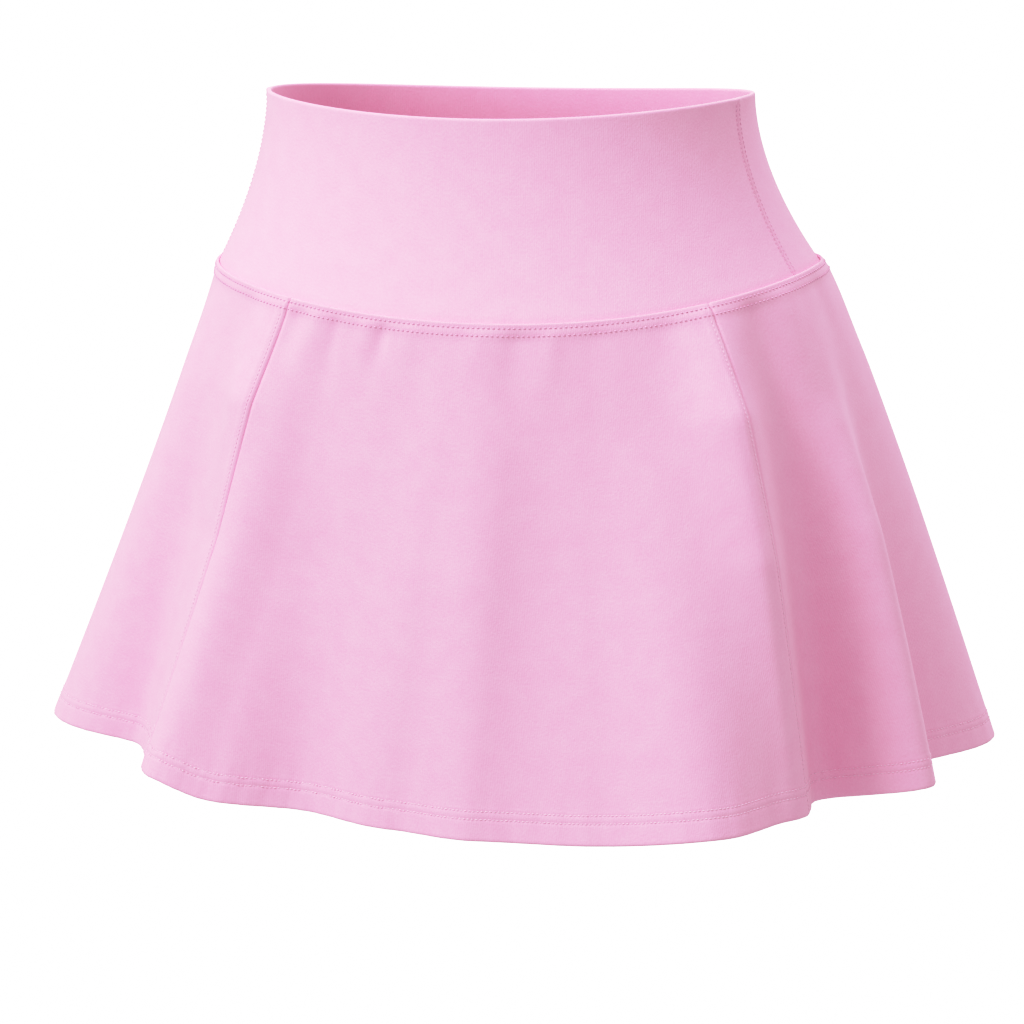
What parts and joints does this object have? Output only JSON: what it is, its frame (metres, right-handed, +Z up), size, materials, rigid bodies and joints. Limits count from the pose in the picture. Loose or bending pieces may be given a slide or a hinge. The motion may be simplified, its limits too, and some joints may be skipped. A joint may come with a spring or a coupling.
{
  "type": "skort",
  "caption": "Flared sports skort in brushed stretch knit: a tall shaped waistband, a gored skirt with soft folds and a topstitched hem, and a plain fitted inner short.",
  "frame": {"origin": "centre of the waist opening at the height of the top edge, where the wearer's waist holds the garment up", "axes": "+Z up, -Y towards the front of the garment, +X towards the wearer's left"},
  "size_m": [0.5033, 0.3416, 0.3539],
  "materials": {
    "waistband_knit": "soft matte brushed knit",
    "skirt_knit": "soft matte brushed knit",
    "shorts_knit": "soft matte knit"
  },
  "bodies": {
    "root": {"waistband_front": "waistband_knit", "waistband_back": "waistband_knit", "skirt_front": "skirt_knit", "skirt_side_left": "skirt_knit", "skirt_side_right": "skirt_knit", "skirt_back": "skirt_knit", "shorts_left": "shorts_knit", "shorts_right": "shorts_knit"}
  },
  "joints": []
}
